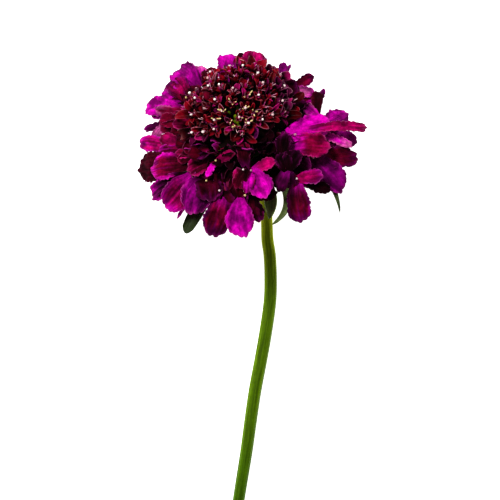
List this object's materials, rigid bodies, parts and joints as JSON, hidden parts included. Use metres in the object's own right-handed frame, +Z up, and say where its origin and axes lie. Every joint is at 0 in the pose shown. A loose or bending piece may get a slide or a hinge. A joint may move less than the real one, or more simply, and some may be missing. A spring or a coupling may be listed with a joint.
{
  "type": "cut scabiosa flower",
  "caption": "Single cut pincushion flower lying on its stem and rear petals, with lobed magenta ray florets round a dark maroon disc and slim green bracts.",
  "frame": {"origin": "centre of the flower's bounding box, on the flat surface that it lies on", "axes": "+Z up from the surface, the cut stem runs along -Y, and the head faces up and towards +Y, where its rear petals lie on the surface"},
  "size_m": [0.0719, 0.1634, 0.0433],
  "materials": {
    "stem_green": "satin",
    "bract_green": "matte",
    "petal_magenta": "matte",
    "floret_maroon": "matte"
  },
  "bodies": {
    "root": {"stem": "stem_green", "involucre": "bract_green", "ray_florets": "petal_magenta", "disc_florets": "floret_maroon"}
  },
  "joints": []
}
